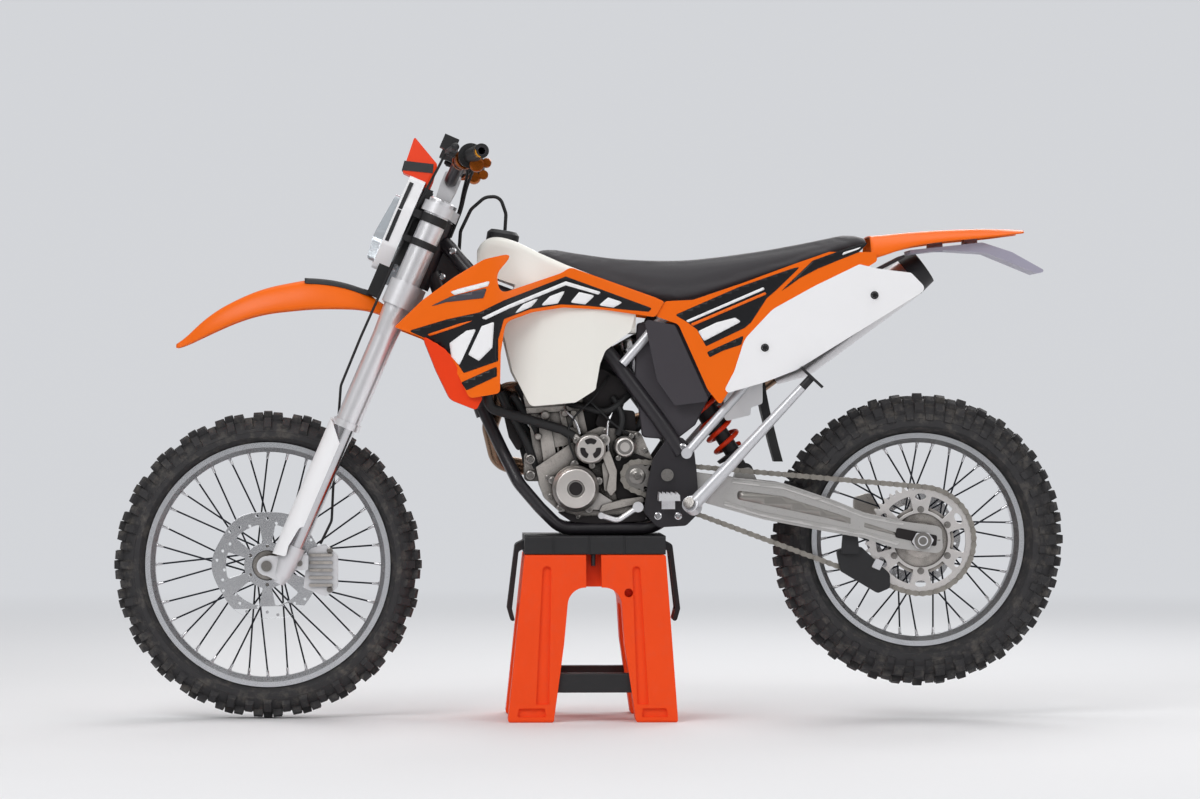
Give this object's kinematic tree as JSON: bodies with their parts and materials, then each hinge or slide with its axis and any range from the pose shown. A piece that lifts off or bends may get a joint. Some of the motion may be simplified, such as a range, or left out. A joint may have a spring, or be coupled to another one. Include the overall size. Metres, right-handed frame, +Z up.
{
  "type": "enduro dirt bike on a lift stand",
  "caption": "Full-size enduro dirt bike with knobbed tyres, wire wheels, long fork, single-cylinder engine and side stand, carried on a moulded lift stand.",
  "frame": {"origin": "on the floor, midway between the tips of the two tyres and on the machine's middle plane", "axes": "+X toward the rear wheel, +Y toward the right side of the machine, +Z up"},
  "size_m": [2.1676, 0.8154, 1.3205],
  "materials": {
    "orange_plastic": "glossy moulded plastic",
    "white_plastic": "glossy moulded plastic",
    "black_plastic": "grained moulded plastic",
    "tank_plastic": "translucent moulded plastic",
    "seat_cover": "ribbed vinyl seat cover over foam",
    "stand_plastic": "moulded plastic",
    "grey_plastic": "moulded plastic",
    "tyre_rubber": "knobbed off-road rubber",
    "rubber": "soft rubber",
    "rim_aluminium": "polished",
    "cast_aluminium": "fine cast",
    "fork_aluminium": "brushed anodised",
    "chrome": "hard chrome",
    "steel": "bright steel",
    "disc_steel": "ground steel",
    "spoke_steel": "black anodised",
    "header_steel": "heat tinted steel",
    "frame_paint": "satin powder coat",
    "spring_paint": "powder coat",
    "lamp_glass": "clear lens",
    "radiator_core": "finned core"
  },
  "bodies": {
    "chassis": {"lift_stand_legs": "stand_plastic", "lift_stand_top": "black_plastic", "main_frame": "frame_paint", "subframe": "fork_aluminium", "swingarm": "cast_aluminium", "frame_bolts": "steel", "rear_axle": "steel", "shock": "black_plastic", "shock_spring": "spring_paint", "crankcase": "cast_aluminium", "cylinder": "cast_aluminium", "engine_covers": "cast_aluminium", "exhaust_header": "header_steel", "silencer": "fork_aluminium", "radiators": "radiator_core", "fuel_tank": "tank_plastic", "fuel_cap": "black_plastic", "seat": "seat_cover", "radiator_shrouds": "orange_plastic", "rear_side_panels": "orange_plastic", "number_panels": "white_plastic", "airbox": "black_plastic", "rear_fender": "orange_plastic", "plate_bracket": "grey_plastic", "chain": "steel", "chain_guide": "black_plastic", "front_sprocket": "steel", "rear_brake_caliper": "cast_aluminium", "footpegs": "steel", "foot_controls": "fork_aluminium", "throttle_body": "rubber", "coolant_hoses": "rubber", "breather_hose": "rubber"},
    "steering": {"fork_outer_tubes": "fork_aluminium", "fork_inner_tubes": "chrome", "fork_lugs": "cast_aluminium", "fork_guards": "white_plastic", "front_axle": "steel", "triple_clamps": "fork_aluminium", "handlebar": "frame_paint", "grips": "rubber", "hand_controls": "black_plastic", "headlight_mask": "white_plastic", "headlamp": "lamp_glass", "mask_cowl": "orange_plastic", "front_fender": "orange_plastic", "front_caliper": "cast_aluminium", "front_brake_hose": "rubber"},
    "front_wheel": {"front_tyre": "tyre_rubber", "front_rim": "rim_aluminium", "front_spokes": "spoke_steel", "front_hub": "cast_aluminium", "front_disc": "disc_steel"},
    "rear_wheel": {"rear_tyre": "tyre_rubber", "rear_rim": "rim_aluminium", "rear_spokes": "spoke_steel", "rear_hub": "cast_aluminium", "rear_sprocket": "fork_aluminium", "rear_disc": "disc_steel"},
    "side_stand": {"side_stand": "fork_aluminium"}
  },
  "joints": [
    {"name": "steering_turn", "type": "hinge", "parent": "chassis", "child": "steering", "pos_m": [-0.36246, 0, 1.06102], "axis": [0.3955, 0, 0.9184], "range_deg": [-42, 42]},
    {"name": "front_wheel_spin", "type": "hinge", "parent": "steering", "child": "front_wheel", "pos_m": [-0.734, 0, 0.35], "axis": [0, 1, 0], "continuous": true},
    {"name": "rear_wheel_spin", "type": "hinge", "parent": "chassis", "child": "rear_wheel", "pos_m": [0.749, 0, 0.406], "axis": [0, 1, 0], "continuous": true},
    {"name": "side_stand_fold", "type": "hinge", "parent": "chassis", "child": "side_stand", "pos_m": [0.226, -0.14, 0.486], "axis": [0.401, 0.8561, -0.326], "range_deg": [0, 143]}
  ]
}
